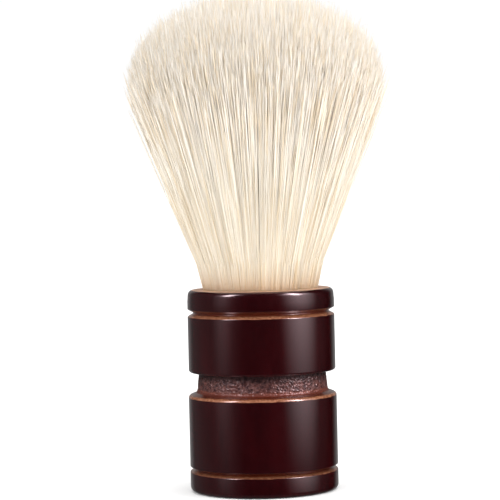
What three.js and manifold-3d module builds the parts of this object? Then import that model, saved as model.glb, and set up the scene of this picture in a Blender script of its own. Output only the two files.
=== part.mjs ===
// A barber's neck duster: a short turned wooden handle with a blind socket in its top,
// and a knot of soft bristles that is tied, potted in resin and glued into that socket.
// Millimetres, +Z up. The origin is the centre of the base, which the brush stands on.
import * as THREE from "three";
import { mergeVertices } from "three/addons/utils/BufferGeometryUtils.js";
import Module from "manifold-3d";

const wasm = await Module();
wasm.setup();

// ---- Driving dimensions ----

const TOUCH_GAP = 0.3; // left between solids that touch on the real brush

// The handle, from the base up. Each stretch has its own height.
const LOWER_DIAMETER = 45.4; // the base ring and the lower drum
const BASE_RING_HEIGHT = 6.1;
const BASE_CORNER_RADIUS = 1.6;
const LOWER_GROOVE_WIDTH = 1.6;
const LOWER_GROOVE_DEPTH = 1.5;
const LOWER_DRUM_HEIGHT = 21.7;
const SHOULDER_RISE = 1.0; // the lower drum's top slopes up to the waist
const SHOULDER_CORNER_RADIUS = 0.7;
const SHOULDER_CORNER_DEGREES = 70; // the round stops where the slope begins
const WAIST_HEIGHT = 6.1;
const WAIST_BOTTOM_DIAMETER = 40.1;
const WAIST_TOP_DIAMETER = 38.8;
const UPPER_DIAMETER = 45; // the upper drum and the top ring
const UPPER_DRUM_CORNER_RADIUS = 0.8;
const UPPER_DRUM_HEIGHT = 17.1;
const UPPER_GROOVE_WIDTH = 2.2;
const UPPER_GROOVE_DEPTH = 1.7;
const TOP_RING_HEIGHT = 5.9;
const RIM_CORNER_RADIUS = 1.2;

// The socket bored into the top of the handle.
const SOCKET_DIAMETER = 34;
const SOCKET_DEPTH = 22;
const SOCKET_LEAD_IN = 0.5; // chamfer at the mouth

// The adhesive that holds the knot: a floor and a low wall round the plug.
const ADHESIVE_FLOOR = 1.0;
const ADHESIVE_WALL = 0.6;
const ADHESIVE_WALL_HEIGHT = 7;

// The resin plug that the bristles' roots are potted in.
const PLUG_HEIGHT = 9;
const PLUG_CHAMFER = 0.8;

// The thread that ties the bristles above the plug.
const THREAD_DIAMETER = 0.8;
const THREAD_TURNS = 4;
const THREAD_PITCH = 1.15;

// The bristles. The flank of the fan runs straight from the mouth and meets the dome smoothly.
const BRISTLE_LENGTH = 90.8; // from the rim to the top of the dome
const FAN_DIAMETER = 80.8;
const DOME_HEIGHT = 28; // from the widest place to the top
const MOUTH_CLEARANCE = 0.5; // between the bristles and the socket's edge
const INNER_TUFTS = 7;
const OUTER_TUFTS = 14;
const CORE_ROOT_RADIUS = 4.2; // the tufts' borders, measured where the bristles are tied
const INNER_ROOT_RADIUS = 9.3;

// Smoothness of the facets.
const HANDLE_FACETS = 72;
const KNOT_FACETS = 48;
const TUFT_FACETS = 84; // a multiple of both numbers of tufts
const CORNER_STEPS = 3;
const DOME_STEP = 0.16; // radians of the dome's curve

// ---- Heights and radii that follow from them ----

const lowerGrooveFoot = BASE_RING_HEIGHT;
const lowerGrooveTop = lowerGrooveFoot + LOWER_GROOVE_WIDTH;
const shoulderFoot = lowerGrooveTop + LOWER_DRUM_HEIGHT;
const waistFoot = shoulderFoot + SHOULDER_RISE;
const waistTop = waistFoot + WAIST_HEIGHT;
const upperGrooveFoot = waistTop + UPPER_DRUM_HEIGHT;
const upperGrooveTop = upperGrooveFoot + UPPER_GROOVE_WIDTH;
const rim = upperGrooveTop + TOP_RING_HEIGHT;

const socketRadius = SOCKET_DIAMETER / 2;
const socketFloor = rim - SOCKET_DEPTH;
const adhesiveRadius = socketRadius - TOUCH_GAP;
const adhesiveFoot = socketFloor + TOUCH_GAP;
const adhesiveTop = adhesiveFoot + ADHESIVE_FLOOR;
const plugRadius = adhesiveRadius - ADHESIVE_WALL - TOUCH_GAP;
const plugFoot = adhesiveTop + TOUCH_GAP;
const plugTop = plugFoot + PLUG_HEIGHT;

// The thread lies flush with the plug's side, so the bristles under it are a thread thinner.
const threadRadius = plugRadius - THREAD_DIAMETER / 2;
const tiedRadius = threadRadius - THREAD_DIAMETER / 2 - TOUCH_GAP;
const rootFoot = plugTop + TOUCH_GAP;
const threadFoot = rootFoot + THREAD_DIAMETER;
const tieTop = threadFoot + THREAD_TURNS * THREAD_PITCH + THREAD_DIAMETER;
const mouthRadius = socketRadius - MOUTH_CLEARANCE;

const domeRadius = FAN_DIAMETER / 2;
const domeCentre = rim + BRISTLE_LENGTH - DOME_HEIGHT;

// ---- Shapes ----

// The points that round an outside corner off, between two angles about the round's centre.
// The corner's face is at height z: the round lies above it from -90 degrees, and below it from 0.
function corner(r, z, radius, fromDegrees, toDegrees) {
  const points = [];
  const centreR = r - radius;
  const centreZ = fromDegrees < 0 ? z + radius : z - radius;
  for (let i = 0; i <= CORNER_STEPS; i++) {
    const degrees = fromDegrees + ((toDegrees - fromDegrees) * i) / CORNER_STEPS;
    const turn = THREE.MathUtils.degToRad(degrees);
    points.push([centreR + radius * Math.cos(turn), centreZ + radius * Math.sin(turn)]);
  }
  return points;
}

// A solid turned about Z from a profile of [radius, height] points.
function turned(profile, facets) {
  const points = profile.map(([r, z]) => new THREE.Vector2(r, z));
  return new THREE.LatheGeometry(points, facets).rotateX(Math.PI / 2);
}

function toSolid(geometry) {
  const bare = geometry.clone();
  bare.deleteAttribute("normal");
  bare.deleteAttribute("uv");
  const merged = mergeVertices(bare, 1e-4);
  const mesh = new wasm.Mesh({
    numProp: 3,
    vertProperties: merged.attributes.position.array,
    triVerts: new Uint32Array(merged.index.array),
  });
  return new wasm.Manifold(mesh);
}

function toGeometry(solid) {
  const mesh = solid.getMesh();
  const geometry = new THREE.BufferGeometry();
  geometry.setAttribute("position", new THREE.BufferAttribute(mesh.vertProperties, 3));
  geometry.setIndex(new THREE.BufferAttribute(mesh.triVerts, 1));
  geometry.computeVertexNormals();
  return geometry;
}

// ---- Handle ----

// A V-groove's three points, going up the wall.
function groove(wallRadius, foot, width, depth) {
  return [
    [wallRadius, foot],
    [wallRadius - depth, foot + width / 2],
    [wallRadius, foot + width],
  ];
}

function handleGeometry() {
  const lower = LOWER_DIAMETER / 2;
  const upper = UPPER_DIAMETER / 2;
  return turned(
    [
      [0, 0],
      ...corner(lower, 0, BASE_CORNER_RADIUS, -90, 0),
      ...groove(lower, lowerGrooveFoot, LOWER_GROOVE_WIDTH, LOWER_GROOVE_DEPTH),
      ...corner(lower, shoulderFoot, SHOULDER_CORNER_RADIUS, 0, SHOULDER_CORNER_DEGREES),
      [WAIST_BOTTOM_DIAMETER / 2, waistFoot],
      [WAIST_TOP_DIAMETER / 2, waistTop],
      ...corner(upper, waistTop, UPPER_DRUM_CORNER_RADIUS, -90, 0),
      ...groove(upper, upperGrooveFoot, UPPER_GROOVE_WIDTH, UPPER_GROOVE_DEPTH),
      ...corner(upper, rim, RIM_CORNER_RADIUS, 0, 90),
      [socketRadius + SOCKET_LEAD_IN, rim],
      [socketRadius, rim - SOCKET_LEAD_IN],
      [socketRadius, socketFloor],
      [0, socketFloor],
    ],
    HANDLE_FACETS,
  );
}

// ---- Knot: adhesive, plug and tying thread ----

function adhesiveGeometry() {
  const wallInside = adhesiveRadius - ADHESIVE_WALL;
  return turned(
    [
      [0, adhesiveFoot],
      [adhesiveRadius, adhesiveFoot],
      [adhesiveRadius, adhesiveTop + ADHESIVE_WALL_HEIGHT],
      [wallInside, adhesiveTop + ADHESIVE_WALL_HEIGHT],
      [wallInside, adhesiveTop],
      [0, adhesiveTop],
    ],
    KNOT_FACETS,
  );
}

function plugGeometry() {
  return turned(
    [
      [0, plugFoot],
      [plugRadius - PLUG_CHAMFER, plugFoot],
      [plugRadius, plugFoot + PLUG_CHAMFER],
      [plugRadius, plugTop - PLUG_CHAMFER],
      [plugRadius - PLUG_CHAMFER, plugTop],
      [0, plugTop],
    ],
    KNOT_FACETS,
  );
}

class ThreadPath extends THREE.Curve {
  getPoint(share, target = new THREE.Vector3()) {
    const turn = share * THREAD_TURNS * 2 * Math.PI;
    const height = threadFoot + share * THREAD_TURNS * THREAD_PITCH;
    return target.set(threadRadius * Math.cos(turn), threadRadius * Math.sin(turn), height);
  }
}

function threadGeometry() {
  const section = new THREE.Shape();
  const sides = 6;
  for (let i = 0; i < sides; i++) {
    const turn = (2 * Math.PI * i) / sides;
    const x = (THREAD_DIAMETER / 2) * Math.cos(turn);
    const y = (THREAD_DIAMETER / 2) * Math.sin(turn);
    if (i === 0) section.moveTo(x, y);
    else section.lineTo(x, y);
  }
  section.closePath();
  const stepsPerTurn = 30;
  return new THREE.ExtrudeGeometry(section, {
    extrudePath: new ThreadPath(),
    steps: THREAD_TURNS * stepsPerTurn,
    bevelEnabled: false,
  });
}

// ---- Bristles ----

// Where the outermost bristle's straight flank touches the dome, as the dome's own angle.
const mouthAcross = mouthRadius / domeRadius;
const mouthBelow = (rim - domeCentre) / DOME_HEIGHT;
const flankAngle =
  Math.atan2(mouthBelow, mouthAcross) + Math.acos(1 / Math.hypot(mouthAcross, mouthBelow));
const flankTopRadius = domeRadius * Math.cos(flankAngle);
const flankTopHeight = domeCentre + DOME_HEIGHT * Math.sin(flankAngle);
const flankSlope = (flankTopRadius - mouthRadius) / (flankTopHeight - rim);

// Bristles fan out straight from the mouth, so each follows share * (the flank's line),
// where share is its part of the knot's radius. This is the dome's angle where it ends.
function domeAngle(share) {
  const start = (share * (mouthRadius + flankSlope * (domeCentre - rim))) / domeRadius;
  const spread = (share * flankSlope * DOME_HEIGHT) / domeRadius;
  const a = spread * spread + 1;
  const b = 2 * start * spread;
  const c = start * start - 1;
  const sine = (-b + Math.sqrt(Math.max(0, b * b - 4 * a * c))) / (2 * a);
  return Math.atan2(sine, start + spread * sine);
}

// The points of a bristle's path from its root up to the rim.
function rootPath(share) {
  return [
    [share * tiedRadius, rootFoot],
    [share * tiedRadius, tieTop],
    [share * mouthRadius, rim],
  ];
}

// The ring of bristles between two shares of the knot's radius, as a profile.
function ringProfile(innerShare, outerShare) {
  const from = domeAngle(outerShare);
  const to = innerShare > 0 ? domeAngle(innerShare) : Math.PI / 2;
  const steps = Math.max(2, Math.round((to - from) / DOME_STEP));
  const dome = [];
  for (let i = 0; i <= steps; i++) {
    const angle = from + ((to - from) * i) / steps;
    const r = i === steps && innerShare === 0 ? 0 : domeRadius * Math.cos(angle);
    dome.push([r, domeCentre + DOME_HEIGHT * Math.sin(angle)]);
  }
  const outside = rootPath(outerShare);
  if (innerShare === 0) return [[0, rootFoot], ...outside, ...dome];
  return [...outside, ...dome, ...rootPath(innerShare).reverse(), outside[0]];
}

// A wedge about X that is one tuft's sector, drawn in from its neighbours by half a gap.
function sectorSolid(count) {
  const half = Math.PI / count;
  const tip = TOUCH_GAP / 2 / Math.sin(half);
  const reach = FAN_DIAMETER;
  const edge = reach * Math.tan(half);
  const sector = new THREE.Shape();
  sector.moveTo(tip, 0);
  sector.lineTo(tip + reach, -edge);
  sector.lineTo(tip + reach, edge);
  sector.closePath();
  const depth = rim + BRISTLE_LENGTH;
  return toSolid(new THREE.ExtrudeGeometry(sector, { depth, bevelEnabled: false }));
}

// One tuft of a ring. All tufts of a ring are copies turned about Z.
function tuftGeometry(innerShare, outerShare, count) {
  const facetTurn = Math.PI / TUFT_FACETS;
  const ring = turned(ringProfile(innerShare, outerShare), TUFT_FACETS).rotateZ(facetTurn);
  return toGeometry(toSolid(ring).intersect(sectorSolid(count)));
}

// ---- Assembly ----

function finish(color, roughness) {
  return new THREE.MeshStandardMaterial({ color, roughness, metalness: 0 });
}

const lacqueredWood = finish(0x3a0d10, 0.28);
const resin = finish(0xd9b677, 0.25);
const glue = finish(0xe6dcc0, 0.4);
const cotton = finish(0xe9e2d2, 0.9);
const bristle = finish(0xefe3d0, 0.7);

const brush = new THREE.Group();

function add(name, geometry, material, turn = 0) {
  const mesh = new THREE.Mesh(geometry, material);
  mesh.name = name;
  mesh.rotation.z = turn;
  brush.add(mesh);
}

function addTufts(name, geometry, count) {
  for (let i = 0; i < count; i++) {
    const number = String(i + 1).padStart(2, "0");
    add(`${name}_${number}`, geometry, bristle, (2 * Math.PI * i) / count);
  }
}

add("handle", handleGeometry(), lacqueredWood);
add("adhesive_bed", adhesiveGeometry(), glue);
add("knot_plug", plugGeometry(), resin);
add("binding_thread", threadGeometry(), cotton);

const coreShare = CORE_ROOT_RADIUS / tiedRadius;
const innerShare = INNER_ROOT_RADIUS / tiedRadius;
const gapShare = TOUCH_GAP / tiedRadius;
add("core_tuft", turned(ringProfile(0, coreShare), KNOT_FACETS), bristle);
addTufts("inner_tuft", tuftGeometry(coreShare + gapShare, innerShare, INNER_TUFTS), INNER_TUFTS);
addTufts("outer_tuft", tuftGeometry(innerShare + gapShare, 1, OUTER_TUFTS), OUTER_TUFTS);

export default brush;
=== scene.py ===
import math

import bpy
import numpy as np
from mathutils import Matrix, Vector


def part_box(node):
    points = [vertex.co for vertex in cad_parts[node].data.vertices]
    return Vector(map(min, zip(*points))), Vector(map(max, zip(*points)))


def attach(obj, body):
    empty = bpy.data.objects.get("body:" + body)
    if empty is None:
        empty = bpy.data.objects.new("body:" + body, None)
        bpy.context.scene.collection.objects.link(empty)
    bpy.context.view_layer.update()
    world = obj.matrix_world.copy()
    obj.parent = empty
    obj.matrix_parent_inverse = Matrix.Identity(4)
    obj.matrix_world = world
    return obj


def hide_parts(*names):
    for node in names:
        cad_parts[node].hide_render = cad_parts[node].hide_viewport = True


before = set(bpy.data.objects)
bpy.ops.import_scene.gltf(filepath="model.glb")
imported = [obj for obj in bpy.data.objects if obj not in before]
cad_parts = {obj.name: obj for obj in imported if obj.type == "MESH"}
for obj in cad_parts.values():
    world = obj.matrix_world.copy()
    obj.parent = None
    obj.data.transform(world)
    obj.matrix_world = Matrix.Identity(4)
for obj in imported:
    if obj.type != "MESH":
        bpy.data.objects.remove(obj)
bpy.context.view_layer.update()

mm = 0.001
handleLow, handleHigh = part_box("handle")
coreLow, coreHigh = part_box("core_tuft")
rim = handleHigh.z  # the handle's flat top
knotFoot = coreLow.z  # where the bristles leave the resin plug
knotTop = coreHigh.z
print("frame loaded:", len(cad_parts), "nodes, rim at", round(rim / mm, 1), "mm")


def nothingSelected():
    if bpy.context.object and bpy.context.object.mode != "OBJECT":
        bpy.ops.object.mode_set(mode="OBJECT")
    bpy.ops.object.select_all(action="DESELECT")


def takeNew(name):  # the primitive that was just added
    piece = bpy.context.object
    piece.name = name
    piece.data.name = name
    return piece


def edit(piece):
    bpy.context.view_layer.objects.active = piece
    bpy.ops.object.mode_set(mode="EDIT")
    bpy.ops.mesh.select_mode(type="VERT")
    bpy.ops.mesh.select_all(action="DESELECT")


def doneEditing():
    bpy.ops.object.mode_set(mode="OBJECT")


def selectEdges(piece, wanted):  # wanted is asked of both ends of each edge
    bpy.ops.mesh.select_mode(type="EDGE")
    bpy.ops.mesh.select_all(action="DESELECT")
    bpy.ops.object.mode_set(mode="OBJECT")
    points = piece.data.vertices
    for edge in piece.data.edges:
        a, b = (points[i].co for i in edge.vertices)
        edge.select = bool(wanted(a) and wanted(b))
    bpy.ops.object.mode_set(mode="EDIT")


def finishPiece(piece, slot, material, *nodes):
    piece.data.materials.clear()
    piece.data.materials.append(material)
    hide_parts(*nodes)
    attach(piece, "root")


class Signal:  # a node's output that sums and products can be written with
    def __init__(self, sheet, socket):
        self.sheet = sheet
        self.socket = socket

    def maths(self, operation, first, second):
        return self.sheet.node("ShaderNodeMath", {"operation": operation}, {0: first, 1: second})

    def __add__(self, other):
        return self.maths("ADD", self, other)

    __radd__ = __add__

    def __sub__(self, other):
        return self.maths("SUBTRACT", self, other)

    def __rsub__(self, other):
        return self.maths("SUBTRACT", other, self)

    def __mul__(self, other):
        return self.maths("MULTIPLY", self, other)

    __rmul__ = __mul__

    def __pow__(self, other):
        return self.maths("POWER", self, other)


class Sheet:  # the nodes of one material, or of the world
    def __init__(self, owner):
        self.owner = owner
        owner.use_nodes = True
        self.nodes = owner.node_tree.nodes
        self.links = owner.node_tree.links
        self.nodes.clear()

    def node(self, kind, settings=None, sockets=None, output=0):
        made = self.nodes.new(kind)
        settings = dict(settings or {})
        stops = settings.pop("stops", None)
        for key, value in settings.items():
            setattr(made, key, value)
        if stops:
            ramp = made.color_ramp
            while len(ramp.elements) < len(stops):
                ramp.elements.new(0.5)
            for element, (position, colour) in zip(ramp.elements, stops):
                element.position = position
                element.color = (*colour, 1)
        for key, value in (sockets or {}).items():
            if isinstance(value, Signal):
                self.links.new(value.socket, made.inputs[key])
            else:
                made.inputs[key].default_value = value
        return Signal(self, made.outputs[output])

    def place(self):
        return self.node("ShaderNodeTexCoord", output="Object")

    def parts(self, vector):
        split = self.node("ShaderNodeSeparateXYZ", sockets={0: vector}).socket.node
        return [Signal(self, out) for out in split.outputs]

    def stretched(self, vector, scale):
        return self.node("ShaderNodeMapping", sockets={"Vector": vector, "Scale": scale})

    def noise(self, vector, scale, detail=2.0, roughness=0.5):
        return self.node("ShaderNodeTexNoise", None, {
            "Vector": vector, "Scale": scale, "Detail": detail, "Roughness": roughness})

    def step(self, value, low, high, start=0.0, end=1.0):  # a smooth step
        return self.node("ShaderNodeMapRange", {"interpolation_type": "SMOOTHSTEP"}, {
            "Value": value, "From Min": low, "From Max": high, "To Min": start, "To Max": end})

    def mix(self, share, first, second):  # of two colours
        return self.node("ShaderNodeMix", {"data_type": "RGBA"}, {0: share, 6: first, 7: second}, 2)

    def finish(self, sockets):
        self.show(self.node("ShaderNodeBsdfPrincipled", None, sockets))
        return self.owner

    def show(self, shader, kind="Material"):
        out = self.nodes.new(f"ShaderNodeOutput{kind}")
        self.links.new(shader.socket, out.inputs["Surface"])


def newMaterial(name):
    return Sheet(bpy.data.materials.new(name))


def srgb(red, green, blue):  # a colour as a paint chart gives it, from 0 to 255
    def linear(value):  # the standard curve for screens
        value /= 255
        return value / 12.92 if value <= 0.04045 else ((value + 0.055) / 1.055) ** 2.4
    return (linear(red), linear(green), linear(blue), 1.0)


handleShape = {  # heights from the base up, in metres
    "around": 640,
    "lowerRadius": 22.7 * mm,
    "upperRadius": 22.5 * mm,
    "lowerGroove": 6.1 * mm,
    "lowerGrooveWidth": 1.6 * mm,
    "lowerGrooveDepth": 1.9 * mm,  # before its bottom is rounded
    "shoulder": 29.4 * mm,
    "shoulderRound": 0.7 * mm,
    "waist": 30.4 * mm,
    "waistTop": 36.5 * mm,
    "waistBottomRadius": 20.05 * mm,
    "waistTopRadius": 19.4 * mm,
    "waistFillet": 0.6 * mm,
    "upperGroove": 53.6 * mm,
    "upperGrooveWidth": 2.2 * mm,
    "upperGrooveDepth": 2.0 * mm,
    "grooveRound": 0.6 * mm,
    "crownHeight": 3.6 * mm,  # the top ring leans in a little over its upper half
    "crownLean": 0.28 * mm,
    "baseRound": 1.6 * mm,
    "drumRound": 0.8 * mm,
    "rimRound": 1.5 * mm,
    "arrisRound": 0.13 * mm,
    "flankRound": 0.22 * mm,  # the grooves' lower edges
    "waistTopRound": 0.25 * mm,
    "socketRadius": 17.0 * mm,
    "socketDepth": 22.0 * mm,
    "socketLeadIn": 0.5 * mm,
    "waistCuts": 33,  # rows of points that the pits move
    "waistEdge": 0.5 * mm,  # the pits fade out this near the waist's edges
    "pitDepth": 0.36 * mm,
    "pitSize": 0.55 * mm,
    "lumpSize": 0.7 * mm,
    "weld": 0.001 * mm,
    "smoothUnder": math.radians(50),
}


def handleOutline(shape):
    lower, upper = shape["lowerRadius"], shape["upperRadius"]
    lowFoot, lowWidth = shape["lowerGroove"], shape["lowerGrooveWidth"]
    upFoot, upWidth = shape["upperGroove"], shape["upperGrooveWidth"]
    return [
        (0, 0),
        (lower, 0),
        (lower, lowFoot),
        (lower - shape["lowerGrooveDepth"], lowFoot + lowWidth / 2),
        (lower, lowFoot + lowWidth),
        (lower, shape["shoulder"]),
        (shape["waistBottomRadius"], shape["waist"]),
        (shape["waistTopRadius"], shape["waistTop"]),
        (upper, shape["waistTop"]),
        (upper, upFoot),
        (upper - shape["upperGrooveDepth"], upFoot + upWidth / 2),
        (upper, upFoot + upWidth),
        (upper, rim - shape["crownHeight"]),
        (upper - shape["crownLean"], rim),
        (shape["socketRadius"] + shape["socketLeadIn"], rim),
        (shape["socketRadius"], rim - shape["socketLeadIn"]),
        (shape["socketRadius"], rim - shape["socketDepth"]),
        (0, rim - shape["socketDepth"]),
    ]


def roundedOutline(outline, rounds, cuts):
    # a rounded corner becomes an arc that touches both its sides; cuts divide the side that ends at a corner
    points = []
    for index, place in enumerate(outline):
        corner = Vector(place)
        arc = [corner]
        if index in rounds:
            size, steps = rounds[index]
            start = corner + (Vector(outline[index - 1]) - corner).normalized() * size
            end = corner + (Vector(outline[index + 1]) - corner).normalized() * size
            middle = start + end - corner
            turns = [math.pi / 2 * i / steps for i in range(steps + 1)]
            arc = [middle + (start - middle) * math.cos(t) + (end - middle) * math.sin(t) for t in turns]
        last = points[-1] if points else corner
        parts = cuts.get(index, 0) + 1
        points += [last.lerp(arc[0], i / parts) for i in range(1, parts)]
        points += arc
    return points


def drawOutline(name, outline):  # one vertex, extruded from point to point
    nothingSelected()
    bpy.ops.mesh.primitive_circle_add(vertices=3, radius=mm, location=(0, 0, 0))
    piece = takeNew(name)
    edit(piece)
    bpy.ops.mesh.select_all(action="SELECT")
    bpy.ops.mesh.merge(type="CENTER")
    for (r0, z0), (r1, z1) in zip(outline, outline[1:]):
        bpy.ops.mesh.extrude_region_move(TRANSFORM_OT_translate={"value": (r1 - r0, 0, z1 - z0)})
    return piece


def pitWaist(piece, shape):
    low, high = shape["waist"], shape["waistTop"]
    group = piece.vertex_groups.new(name="waist")
    for vertex in piece.data.vertices:
        outside = math.hypot(vertex.co.x, vertex.co.y) > shape["socketRadius"] + 2 * mm
        if low < vertex.co.z < high and outside:
            edge = min(vertex.co.z - low, high - vertex.co.z)
            group.add([vertex.index], min(1.0, edge / shape["waistEdge"]), "REPLACE")
    pits = bpy.data.textures.new("pits", "VORONOI")
    pits.noise_scale = shape["pitSize"]
    pits.distance_metric = "DISTANCE"
    lumps = bpy.data.textures.new("lumps", "CLOUDS")
    lumps.noise_scale = shape["lumpSize"]
    lumps.noise_depth = 3
    for texture, strength, middle in ((lumps, 1.1, 0.5), (pits, 0.9, 0.75)):
        push = piece.modifiers.new(texture.name, "DISPLACE")
        push.texture = texture
        push.texture_coords = "LOCAL"
        push.vertex_group = group.name
        push.mid_level = middle
        push.strength = strength * shape["pitDepth"]
        bpy.ops.object.modifier_apply(modifier=push.name)
    piece.vertex_groups.clear()


def cornerRounds(shape):  # the outline's corners by number: each one's size, and the steps of its arc
    rounds = {
        1: (shape["baseRound"], 6),
        3: (shape["grooveRound"], 4),
        5: (shape["shoulderRound"], 5),
        6: (shape["waistFillet"], 4),
        7: (shape["waistTopRound"], 2),
        8: (shape["drumRound"], 6),
        10: (shape["grooveRound"], 4),
        13: (shape["rimRound"], 8),
    }
    for index in (2, 9):
        rounds[index] = (shape["flankRound"], 3)
    for index in (4, 11, 14):
        rounds[index] = (shape["arrisRound"], 2)
    return rounds


def makeHandle(shape):
    outline = roundedOutline(handleOutline(shape), cornerRounds(shape), {7: shape["waistCuts"]})
    piece = drawOutline("turnedHandle", outline)
    bpy.ops.mesh.select_mode(type="VERT")
    bpy.ops.mesh.select_all(action="SELECT")
    bpy.ops.mesh.spin(steps=shape["around"], angle=2 * math.pi, center=(0, 0, 0), axis=(0, 0, 1))
    bpy.ops.mesh.select_all(action="SELECT")
    bpy.ops.mesh.remove_doubles(threshold=shape["weld"])
    bpy.ops.mesh.select_all(action="SELECT")
    bpy.ops.mesh.normals_make_consistent(inside=False)
    doneEditing()
    pitWaist(piece, shape)
    bpy.ops.object.shade_smooth_by_angle(angle=shape["smoothUnder"])
    return piece


lacquer = {
    "stain": (srgb(30, 0, 2), srgb(35, 1, 3)),  # along the grain
    "stainPatch": srgb(46, 3, 6),
    "mottle": (srgb(42, 19, 18), srgb(98, 63, 57)),  # the rough waist
    "mottleRed": srgb(84, 40, 30),
    # painted shade: the top of the waist darkens under the upper drum's overhang
    "paintedShadeUnderDrum": srgb(26, 9, 8),
    # painted reflection: an orange glow over the waist's foot
    "paintedFootReflection": srgb(130, 58, 24),
    "brown": srgb(84, 32, 15),  # thin lacquer in the grooves, partly painted light: lighter at the groove bottoms to fill their shade
    "bare": (srgb(112, 64, 42), srgb(160, 108, 80)),  # worn edges
    "bareLow": srgb(60, 28, 16),
    "top": (srgb(178, 132, 104), srgb(206, 166, 138)),
    "socket": srgb(190, 150, 108),
    "grainScale": 1500,
    "patchScale": 120,
    "fineScale": 1700,
    "speckScale": 1150,
    "raggedScale": 420,
    "raggedEdge": 0.45 * mm,  # how far the borders between finishes wander
    "roughness": 0.2,
    "mattRoughness": 0.12,
    "coat": 0.6,
    "mattCoat": 0.2,
    "coatRoughness": 0.12,
    "gloss": 0.45,
    "glossTint": (1.0, 0.62, 0.7, 1),
    "reliefStrength": 0.35,
    "reliefHeight": 0.05 * mm,
}


def lacqueredMahogany(shape, look):
    m = newMaterial("lacqueredMahogany")
    place = m.place()
    x, y, z = m.parts(place)
    radius = (x * x + y * y) ** 0.5
    grain = m.noise(m.stretched(place, (1, 1, 0.06)), look["grainScale"], 4, 0.6)
    patches = m.noise(m.stretched(place, (1, 1, 0.35)), look["patchScale"], 3)
    fine = m.noise(place, look["fineScale"], 3, 0.6)
    specks = m.noise(place, look["speckScale"], 2, 0.55)
    ragged = m.noise(place, look["raggedScale"], 3, 0.65)
    height = z + (ragged - 0.5) * look["raggedEdge"]

    def band(low, high, soft):  # 1 between two heights, with ragged edges
        return m.step(height, low - soft, low + soft) * m.step(height, high - soft, high + soft, 1, 0)

    def flank(foot, width):  # pale at the foot of a groove's lower flank, browner above
        up = m.step(height, foot - 0.12 * mm, foot + 0.02 * mm)
        return up * m.step(height, foot + width * 0.2, foot + width * 0.45, 1, 0)

    stain = m.mix(m.step(grain, 0.35, 0.68), *look["stain"])
    stain = m.mix(m.step(patches, 0.4, 0.7) * 0.5, stain, look["stainPatch"])

    waistFoot, waistTop, shoulder = shape["waist"], shape["waistTop"], shape["shoulder"]
    waist = m.step(radius, shape["waistTopRadius"] + 1.2 * mm, shape["waistTopRadius"] + 0.9 * mm)
    waist = waist * band(waistFoot - 0.2 * mm, waistTop, 0.1 * mm)
    mottle = m.mix(m.step(specks, 0.36, 0.66), *look["mottle"])
    mottle = m.mix(m.step(ragged, 0.45, 0.62) * 0.5, mottle, look["mottleRed"])
    # painted shade along the top of the waist, under the upper drum
    mottle = m.mix(m.step(z, waistTop - 3.2 * mm, waistTop - 0.5 * mm) * 0.8, mottle, look["paintedShadeUnderDrum"])
    # painted reflection: the waist's foot turns orange
    mottle = m.mix(m.step(z, waistFoot + 1.5 * mm, waistFoot - 0.1 * mm) * 0.75, mottle, look["paintedFootReflection"])

    upFoot, upWidth = shape["upperGroove"], shape["upperGrooveWidth"]
    lowFoot, lowWidth = shape["lowerGroove"], shape["lowerGrooveWidth"]
    worn = flank(upFoot, upWidth) + flank(lowFoot, lowWidth)
    worn = worn + band(shoulder - 0.55 * mm, shoulder + 0.25 * mm, 0.15 * mm)
    # brown bands centred on the groove bottoms, where the lighter brown is painted light filling the grooves'
    # shade; a plain brown band on the shoulder slope
    brown = band(upFoot, upFoot + upWidth * 0.8, 0.35 * mm)
    brown = brown + band(lowFoot, lowFoot + lowWidth * 0.8, 0.35 * mm)
    brown = brown + band(shoulder, waistFoot + 0.5 * mm, 0.2 * mm)
    bare = m.mix(m.step(fine, 0.35, 0.65), *look["bare"])
    bare = m.mix(m.step(z, waistFoot, lowFoot * 2) * 0.45, bare, look["bareLow"])

    top = m.step(z, rim - 0.16 * mm, rim - 0.05 * mm)
    pale = m.mix(m.step(grain, 0.3, 0.7), *look["top"])
    inside = m.step(radius, shape["socketRadius"] + 0.9 * mm, shape["socketRadius"] + 0.6 * mm)
    inside = inside * m.step(z, waistTop, waistTop + 1 * mm)

    colour = m.mix(waist, stain, mottle)
    colour = m.mix(brown * 0.85, colour, look["brown"])
    colour = m.mix(worn, colour, bare)
    colour = m.mix(top, colour, pale)
    colour = m.mix(inside, colour, look["socket"])

    matt = m.step(waist + top + inside, 0.0, 1.0)
    roughness = look["roughness"] + (matt + waist) * look["mattRoughness"]
    roughness = roughness + (fine - 0.5) * 0.08 + (ragged - 0.5) * 0.1
    bumps = fine * (0.4 + waist * 0.9)  # pores, deeper on the waist
    relief = m.node("ShaderNodeBump", None, {
        "Strength": look["reliefStrength"], "Distance": look["reliefHeight"], "Height": bumps})
    coat = look["coat"] - matt * (look["coat"] - look["mattCoat"])
    return m.finish({"Base Color": colour, "Roughness": roughness, "Coat Weight": coat,
                     "Coat Roughness": look["coatRoughness"], "Specular IOR Level": look["gloss"],
                     "Specular Tint": look["glossTint"], "Normal": relief})


handle = makeHandle(handleShape)
finishPiece(handle, "lacquered_wood", lacqueredMahogany(handleShape, lacquer), "handle")
print("handle turned:", len(handle.data.polygons), "faces")


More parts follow.
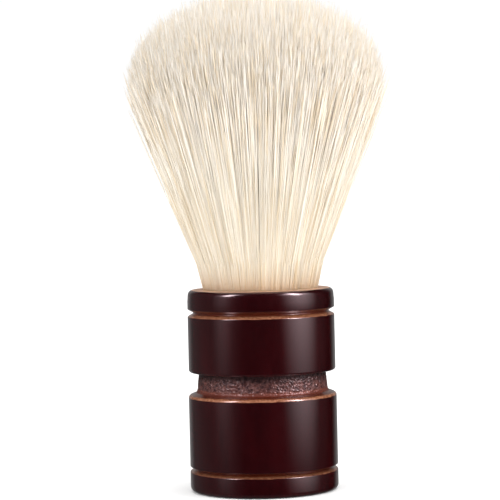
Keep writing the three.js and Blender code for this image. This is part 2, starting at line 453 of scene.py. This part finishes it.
bristleShape = {
    "mouthRadius": 16.1 * mm,  # the knot where it leaves the socket
    "tiedRadius": 14.9 * mm,  # the knot where it is bound
    "tiedHeight": 5.2 * mm,  # the binding, above the plug
    "domeHeight": 28.0 * mm,  # from the widest place to the top
    "fanRadius": 40.2 * mm,
    "coreShare": 0.275,  # the tufts' borders, as shares of the knot's radius
    "innerShare": 0.615,
    "thickness": 0.1 * mm,  # radius of a filament
    "ringsAt": (0, 0.25, 0.5, 0.74, 0.94, 1),  # a filament's rings, as shares of its length
    "ringSizes": (0.85, 1, 1.153, 1.3, 1.3, 0.25),  # how thick it is there
    "filaments": {"core": 1200, "inner": 1200, "outer": 3200},
    "locks": {"core": 7, "inner": 5, "outer": 8},  # broad groups in a tuft
    "strands": {"core": 70, "inner": 70, "outer": 120},  # fine groups
    "crowding": {"core": 1.0, "inner": 1.0, "outer": 1.7},  # above 1, more of them stand outside
    "loose": 0.65,  # share of the filaments that keep out of the strands
    "loosePull": 0.02,
    "strandPull": (0.05, 0.2),  # how far the rest are drawn to their strand
    "lockPull": 0.035,
    "body": 0.955,  # the dense mass, as a share of the fan; the fringe stands out of it
    "curl": 0.17,
    "lengthSpread": 1.3 * mm,
    "strandLengthSpread": 0.7 * mm,
    "short": 0.35,  # share of the filaments that are cut shorter, by up to shortBy
    "shortBy": 6 * mm,
    "rimDrop": 0.8 * mm,  # how much lower the outermost ones end
    "strandSpread": 0.004,  # sideways, as shares of the knot's radius
    "strandSway": 0.005,
    "stray": 0.012,
    "wild": 0.04,  # share of the filaments that stray by wildStray
    "wildStray": 0.03,
    "wave": 0.006,
    "fringe": 0.07,
    "fringeReach": 0.03,
    "fringeMost": 0.055,
    "heartShares": (0.88, 0.89, 0.88, 0.83),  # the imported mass, at the plug, rim, widest place and top
    "heartDrop": 8.0 * mm,
    "heartColumn": 0.99,  # its place across the colour sheet; the filaments keep below 0.965
    "columnReach": 0.94,
    "columnWidth": 0.018,
    "sheetMargin": 0.005,
    "firstSeed": 100,
}


def fanSlope(shape):  # the straight flank touches the dome, as in the CAD
    across = shape["mouthRadius"] / shape["fanRadius"]
    below = (rim - (knotTop - shape["domeHeight"])) / shape["domeHeight"]
    angle = math.atan2(below, across) + math.acos(1 / math.hypot(across, below))
    topRadius = shape["fanRadius"] * math.cos(angle)
    topHeight = knotTop - shape["domeHeight"] + shape["domeHeight"] * math.sin(angle)
    return (topRadius - shape["mouthRadius"]) / (topHeight - rim)


def tipHeight(share, slope, shape):  # where a straight bristle meets the dome
    centre = knotTop - shape["domeHeight"]
    start = share * (shape["mouthRadius"] + slope * (centre - rim)) / shape["fanRadius"]
    spread = share * slope * shape["domeHeight"] / shape["fanRadius"]
    a, b, c = spread ** 2 + 1, 2 * start * spread, start ** 2 - 1
    sine = (-b + np.sqrt(np.maximum(0, b * b - 4 * a * c))) / (2 * a)
    return centre + shape["domeHeight"] * sine


def knotRadius(height, slope, shape):
    tied = knotFoot + shape["tiedHeight"]
    inside = np.interp(height, [tied, rim], [shape["tiedRadius"], shape["mouthRadius"]])
    return np.where(height > rim, shape["mouthRadius"] + slope * (height - rim), inside)


def makeFilament(shape):  # one tapering filament, three-sided, a unit long
    nothingSelected()
    bpy.ops.mesh.primitive_cone_add(vertices=3, radius1=1, radius2=0, depth=1, location=(0, 0, 0.5))
    filament = takeNew("filament")
    bpy.ops.object.transform_apply(location=True, rotation=True, scale=True)
    edit(filament)
    selectEdges(filament, lambda co: co.z < 0.5)
    bpy.ops.mesh.select_all(action="INVERT")
    bpy.ops.mesh.subdivide(number_cuts=len(shape["ringsAt"]) - 2)
    doneEditing()
    return filament


def spread(count, low, high, halfAngle, outward, rng):  # places in a ring's sector of the unit disk
    depth = rng.random(count) ** outward
    share = np.sqrt(high ** 2 - (high ** 2 - low ** 2) * depth)
    turn = (rng.random(count) * 2 - 1) * halfAngle
    return np.stack([share * np.cos(turn), share * np.sin(turn)], 1)


def nearest(points, centres):
    gaps = ((points[:, None, :] - centres[None, :, :]) ** 2).sum(2)
    return gaps.argmin(1)


def rootFilaments(kind, low, high, halfAngle, shape, rng):
    # where each one stands, the strands, each one's strand, and the place of its lock
    outward = shape["crowding"][kind]
    points = spread(shape["filaments"][kind], low, high, halfAngle, outward, rng)
    locks = spread(shape["locks"][kind], low, high, halfAngle, 1.0, rng)
    strands = spread(shape["strands"][kind], low, high, halfAngle * 1.02, outward, rng)
    strandLock = locks[nearest(strands, locks)]
    mine = nearest(points, strands)
    return points, strands, mine, strandLock[mine]


def endFilaments(points, strands, mine, slope, shape, rng):  # how high each one ends, and how far it curls in
    count = len(points)
    share = np.hypot(points[:, 0], points[:, 1])
    curl = shape["curl"] * rng.random(count) ** 1.5 * share
    reach = np.minimum(share * (1 - curl), 0.9999)  # a tip that bends in ends higher on the dome
    top = tipHeight(reach, slope, shape) + rng.normal(0, shape["lengthSpread"], count)
    top = top - np.where(rng.random(count) < shape["short"], rng.random(count) * shape["shortBy"], 0)
    top = top + rng.normal(0, shape["strandLengthSpread"], len(strands))[mine]
    return top - share * shape["rimDrop"], curl


def bendFilaments(points, strands, mine, lock, top, curl, slope, shape, rng):
    # where each filament's middle is at each of its rings
    count = len(points)
    grow = np.array(shape["ringsAt"])[None, :]
    height = knotFoot + (top - knotFoot)[:, None] * grow
    pull = np.where(rng.random(count) < shape["loose"], shape["loosePull"],
                    rng.uniform(*shape["strandPull"], count))
    gather = np.sin(np.pi * grow ** 0.9) ** 0.8  # strands draw together half way up
    gather = pull[:, None] * gather * (1 - 0.6 * grow)
    lockPull = shape["lockPull"] * np.sin(np.pi * grow ** 1.1)
    centre = strands[mine] + rng.normal(0, shape["strandSpread"], (count, 2))
    flat = points[:, None, :] * (1 - gather[:, :, None]) + centre[:, None, :] * gather[:, :, None]
    flat = flat + (lock[:, None, :] - flat) * lockPull[:, :, None]
    sway = rng.normal(0, shape["strandSway"], (len(strands), 2))[mine]
    flat = flat + sway[:, None, :] * (grow ** 2)[:, :, None]
    stray = rng.normal(0, shape["stray"], (count, 2))
    wild = rng.random(count) < shape["wild"]
    stray = stray + wild[:, None] * rng.normal(0, shape["wildStray"], (count, 2))
    flat = flat + stray[:, None, :] * (grow ** 2.2)[:, :, None]
    splay = np.where(rng.random(count) < shape["fringe"], rng.exponential(shape["fringeReach"], count), 0)
    splay = shape["body"] + np.minimum(splay, shape["fringeMost"])
    flat = flat * (1 + (splay[:, None, None] - 1) * np.minimum(1, grow * 2.4)[:, :, None])
    flat = flat * (1 - curl[:, None] * grow ** 3)[:, :, None]
    phase = rng.random(count) * 2 * np.pi
    bends = 7 + 5 * rng.random(count)
    wave = shape["wave"] * np.sin(phase[:, None] + grow * bends[:, None]) * grow
    flat = flat + wave[:, :, None] * rng.normal(0, 1, (count, 2))[:, None, :]
    width = knotRadius(height, slope, shape)
    return np.concatenate([flat * width[:, :, None], height[:, :, None]], 2)


def sideAcross(faces, across, solid):  # how far round the filament each face corner lies, from 0 to 2/3
    angles = np.arctan2(across[:, 1], across[:, 0])
    sides = []
    for face in faces:
        turns = angles[face]
        onSide = solid[face]
        reach = turns[onSide]
        if len(reach) and reach.max() - reach.min() > 3:  # the face that closes the round
            turns = np.where(turns < 0, turns + 2 * np.pi, turns)
        middle = turns[onSide].mean() if onSide.any() else 0
        turns = np.where(onSide, turns, middle)
        sides.append((turns + np.pi) / (3 * np.pi))
    return np.concatenate(sides)


def copiedMesh(name, verts, faces, count):  # count copies of the template's faces over their own vertices
    loops = np.concatenate([np.array(f) for f in faces])
    starts = np.cumsum([0] + [len(f) for f in faces[:-1]])
    shift = np.arange(count)[:, None]
    mesh = bpy.data.meshes.new(name)
    mesh.vertices.add(verts.shape[0] * verts.shape[1])
    mesh.vertices.foreach_set("co", verts.astype(np.float32).ravel())
    mesh.loops.add(count * len(loops))
    corners = loops[None, :] + shift * verts.shape[1]
    mesh.loops.foreach_set("vertex_index", corners.astype(np.int32).ravel())
    mesh.polygons.add(count * len(faces))
    mesh.polygons.foreach_set("loop_start", (starts[None, :] + shift * len(loops)).astype(np.int32).ravel())
    return mesh, loops


def link(name, mesh):
    piece = bpy.data.objects.new(name, mesh)
    bpy.context.scene.collection.objects.link(piece)
    return piece


def makeTuft(name, template, kind, low, high, turn, halfAngle, slope, shape, seed):
    rng = np.random.default_rng(seed)
    points, strands, mine, lock = rootFilaments(kind, low, high, halfAngle, shape, rng)
    top, curl = endFilaments(points, strands, mine, slope, shape, rng)
    line = bendFilaments(points, strands, mine, lock, top, curl, slope, shape, rng)
    cos, sin = math.cos(turn), math.sin(turn)
    line[:, :, :2] = line[:, :, :2] @ np.array([[cos, sin], [-sin, cos]])

    corners = np.array([v.co for v in template.data.vertices])
    rings = np.array(shape["ringsAt"])
    along = np.interp(np.clip(corners[:, 2], 0, 1), np.linspace(0, 1, len(rings)), rings)
    ringOf = np.abs(along[:, None] - rings[None, :]).argmin(1)
    size = np.hypot(corners[:, 0], corners[:, 1])
    solid = size > 1e-6  # all corners but those on the axis
    across = np.where(solid[:, None], corners[:, :2] / np.maximum(size, 1e-6)[:, None], 0)

    count = len(points)
    twist = rng.random(count) * 2 * np.pi
    twistCos, twistSin = np.cos(twist)[:, None], np.sin(twist)[:, None]
    offsetX = across[None, :, 0] * twistCos - across[None, :, 1] * twistSin
    offsetY = across[None, :, 0] * twistSin + across[None, :, 1] * twistCos
    thick = shape["thickness"] * np.array(shape["ringSizes"])[ringOf][None, :]
    verts = line[:, ringOf, :].copy()
    verts[:, :, 0] += offsetX * thick
    verts[:, :, 1] += offsetY * thick

    faces = [list(p.vertices) for p in template.data.polygons]
    mesh, loops = copiedMesh(name, verts, faces, count)
    column = rng.random(count) * 0.15 + 0.85 * rng.random(len(strands))[mine]
    side = sideAcross(faces, across, solid)
    margin = shape["sheetMargin"]
    uv = np.empty((count, len(loops), 2), np.float32)
    uv[:, :, 0] = column[:, None] * shape["columnReach"] + margin + side[None, :] * shape["columnWidth"]
    uv[:, :, 1] = margin + (1 - 2 * margin) * along[loops][None, :]
    layer = mesh.uv_layers.new(name="OFBake")
    layer.data.foreach_set("uv", uv.ravel())
    mesh.update(calc_edges=True)
    mesh.validate()
    mesh.shade_smooth()
    return link(name, mesh)


def makeHeart(name, node, shape):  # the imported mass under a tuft's loose filaments: its outline, drawn in
    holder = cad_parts[node]
    corners = np.array([holder.matrix_world @ v.co for v in holder.data.vertices])
    heights = [knotFoot, rim, knotTop - shape["domeHeight"], knotTop]
    corners[:, :2] *= np.interp(corners[:, 2], heights, shape["heartShares"])[:, None]
    share = (corners[:, 2] - knotFoot) / (knotTop - knotFoot)
    corners[:, 2] -= shape["heartDrop"] * np.clip(share, 0, 1) ** 2
    mesh = bpy.data.meshes.new(name)
    mesh.from_pydata([tuple(c) for c in corners], [], [list(p.vertices) for p in holder.data.polygons])
    ends = [loop.vertex_index for loop in mesh.loops]
    margin = shape["sheetMargin"]
    up = margin + (1 - 2 * margin) * np.clip(share, 0, 1)
    uv = np.stack([np.full(len(share), shape["heartColumn"]), up], 1)
    layer = mesh.uv_layers.new(name="OFBake")
    layer.data.foreach_set("uv", uv[ends].astype(np.float32).ravel())
    mesh.update()
    mesh.shade_smooth()
    return link(name, mesh)


def joinPieces(main, extra):
    nothingSelected()
    extra.select_set(True)
    main.select_set(True)
    bpy.context.view_layer.objects.active = main
    bpy.ops.object.join()


hairLook = {
    # from root to tip: the tan at the root is partly the filaments' own tint, partly painted shade at the
    # socket's mouth
    "rootToTip": [(0.10, srgb(236, 214, 184)[:3]), (0.24, srgb(249, 239, 222)[:3]),
                  (0.60, srgb(253, 245, 231)[:3]), (0.95, srgb(252, 245, 235)[:3])],
    "golden": srgb(236, 208, 158),  # some filaments lean half way to this
    "heartShade": srgb(240, 216, 176),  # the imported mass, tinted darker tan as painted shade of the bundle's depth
    "heartShadeShare": 0.45,
    "roughness": 0.5,
    "gloss": 0.35,
}


def creamBristle(look):
    m = newMaterial("creamBristle")
    uv = m.node("ShaderNodeUVMap", {"uv_map": "OFBake"})
    column, along, _ = m.parts(uv)
    tone = m.noise(m.stretched(uv, (1, 0.05, 1)), 55, 2, 0.6)
    # partly painted shade: tan near the root
    body = m.node("ShaderNodeValToRGB", {"stops": look["rootToTip"]}, {0: along})
    colour = m.mix(m.step(tone, 0.36, 0.52), m.mix(0.5, body, look["golden"]), body)
    # painted shade: the heart leans towards a darker tan
    heartShade = m.mix(look["heartShadeShare"], body, look["heartShade"])
    colour = m.mix(m.step(column, 0.97, 0.98), colour, heartShade)
    return m.finish({"Base Color": colour, "Roughness": look["roughness"],
                     "Specular IOR Level": look["gloss"]})


bristle = creamBristle(hairLook)
filament = makeFilament(bristleShape)
slope = fanSlope(bristleShape)
coreShare, innerShare = bristleShape["coreShare"], bristleShape["innerShare"]
tufts = [("core_tuft", "core", 0.0, coreShare, 0.0, math.pi)]
for kind, low, high, count in (("inner", coreShare, innerShare, 7), ("outer", innerShare, 1.0, 14)):
    for i in range(count):
        tufts.append((f"{kind}_tuft_{i + 1:02d}", kind, low, high, 2 * math.pi * i / count, math.pi / count))
for number, (node, *place) in enumerate(tufts):
    word, _, rest = node.partition("_tuft")
    seed = bristleShape["firstSeed"] + number
    piece = makeTuft(f"{word}Bristles{rest}", filament, *place, slope, bristleShape, seed)
    joinPieces(piece, makeHeart(f"{word}Heart{rest}", node, bristleShape))
    finishPiece(piece, "bristle", bristle, node)
bpy.data.objects.remove(filament)
print("bristles set:", len(tufts), "tufts")


def plainMaterial(name, first, second, scale, roughness, stretch=(1, 1, 1)):
    m = newMaterial(name)
    tone = m.noise(m.stretched(m.place(), stretch), scale, 3)
    colour = m.mix(m.step(tone, 0.35, 0.65), first, second)
    return m.finish({"Base Color": colour, "Roughness": roughness})


insides = {
    "adhesive_bed": plainMaterial("curedAdhesive", srgb(214, 202, 168), srgb(232, 222, 196), 300, 0.4),
    "knot_plug": plainMaterial("castResin", srgb(196, 150, 86), srgb(222, 184, 122), 200, 0.2),
    "binding_thread": plainMaterial("bindingCotton", srgb(222, 212, 190), srgb(240, 234, 220), 2500, 0.9),
}
for node, material in insides.items():
    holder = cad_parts[node]
    holder.data.materials.clear()
    holder.data.materials.append(material)


studio = {
    "lens": 154.7,
    "distance": 0.658,
    "elevation": 1.8,  # degrees
    "lean": 1.3,  # degrees that the brush leans to the left in the frame
    "aim": (-2.9 * mm, 0, 73.5 * mm),
    "paper": (0.93, 0.93, 0.93, 1),
    "backdrop": 1.02,  # the room as the camera sees it
    "softLight": (1.38, 0.32),  # from all round, and how much more from the front
    "mirrored": {"all": 0.003, "behind": 0.26, "left": 0.10, "right": 0.05, "below": 0.12},
    "aimHeight": 0.06,  # what the softboxes face
}

# azimuth from the front towards the right, elevation, distance, width, height, radiance
plainBoxes = {
    "keyRight": (65, 35, 0.9, 0.6, 0.6, 1.7),
    "fillLeft": (-65, 30, 0.9, 0.6, 0.6, 0.3),
}
ovalBoxes = {
    "highRight": (61, 36, 0.95, 0.34, 0.85, 28),
    "highLeft": (-57, 36, 0.95, 0.34, 0.85, 20),
}
columnBoxes = {
    "columnRight": (64, 5, 0.9, 1.25, 1.5, 8.8),
    "columnLeft": (-63, 5, 0.9, 0.7, 1.5, 1.8),
}


def placeCamera(setup):
    camera = link("camera", bpy.data.cameras.new("camera"))
    camera.data.lens = setup["lens"]
    camera.data.clip_start, camera.data.clip_end = 0.05, 60
    rise = math.radians(setup["elevation"])
    back = Vector((0, -math.cos(rise), math.sin(rise)))
    lean = Matrix.Rotation(-math.radians(setup["lean"]), 3, "Z")
    look = (-back).to_track_quat("-Z", "Y").to_matrix() @ lean
    place = Vector(setup["aim"]) + back * setup["distance"]
    camera.matrix_world = Matrix.Translation(place) @ look.to_4x4()
    bpy.context.scene.camera = camera


def layFloor(setup):
    nothingSelected()
    bpy.ops.mesh.primitive_circle_add(vertices=96, radius=30, fill_type="NGON", location=(0, 0, 0))
    floor = takeNew("floor")
    m = newMaterial("whitePaper")
    floor.data.materials.append(m.finish({"Base Color": setup["paper"], "Roughness": 0.9,
                                          "Specular IOR Level": 0.0}))
    floor.visible_glossy = False


def addSoftbox(name, box, setup, profile=None):
    # a plain box only lights; one with a profile is only mirrored, and fades to its edges
    azimuth, elevation, distance, width, height, radiance = box
    data = bpy.data.lights.new(name, "AREA")
    data.shape = "RECTANGLE"
    data.size, data.size_y = width, height
    data.energy = math.pi * width * height
    light = link(name, data)
    a, e = math.radians(azimuth), math.radians(elevation)
    away = Vector((math.sin(a) * math.cos(e), -math.cos(a) * math.cos(e), math.sin(e)))
    light.location = away * distance + Vector((0, 0, setup["aimHeight"]))
    light.rotation_mode = "QUATERNION"
    light.rotation_quaternion = away.to_track_quat("Z", "Y")
    light.visible_glossy = profile is not None
    light.visible_diffuse = profile is None
    if profile is None:
        data.energy *= radiance
        return
    m = Sheet(data)
    across, up, _ = m.parts(m.node("ShaderNodeNewGeometry", output="Parametric"))
    strength = profile(m, across, up) * radiance
    m.show(m.node("ShaderNodeEmission", None, {"Strength": strength}), "Light")


def ovalGlow(m, across, up):
    sides = m.step(across, 0, 0.4) * m.step(across, 1, 0.6)
    return sides * m.step(up, 0, 0.3) * m.step(up, 1, 0.7)


def columnGlow(m, across, up):  # brightest at its top
    return m.step(across, 0, 0.5) * m.step(across, 1, 0.5) * up * up


def lightRoom(setup):
    world = bpy.data.worlds.new("room")
    bpy.context.scene.world = world
    m = Sheet(world)
    path = m.nodes.new("ShaderNodeLightPath")
    isCamera = Signal(m, path.outputs["Is Camera Ray"])
    isGlossy = Signal(m, path.outputs["Is Glossy Ray"])
    side, ahead, up = m.parts(m.node("ShaderNodeTexCoord", output="Generated"))
    seen = setup["mirrored"]
    glossy = seen["all"] + m.step(ahead, 0.70, 0.95) * seen["behind"]
    glossy = glossy + m.step(side, -0.45, -0.80) * seen["left"]
    glossy = glossy + m.step(side, 0.80, 0.97) * seen["right"]
    glossy = glossy + m.step(up, -0.35, -0.75) * seen["below"]
    around, front = setup["softLight"]
    soft = around + m.step(ahead, 0.0, -0.9) * front
    strength = isGlossy * glossy + (1 - isGlossy) * (isCamera * setup["backdrop"] + (1 - isCamera) * soft)
    m.show(m.node("ShaderNodeBackground", None, {"Color": (1, 1, 1, 1), "Strength": strength}), "World")
    for boxes, profile in ((plainBoxes, None), (ovalBoxes, ovalGlow), (columnBoxes, columnGlow)):
        for name, box in boxes.items():
            addSoftbox(name, box, setup, profile)


placeCamera(studio)
layFloor(studio)
lightRoom(studio)
bpy.context.scene.view_settings.view_transform = "Standard"
print("studio set")

bpy.context.view_layer.update()
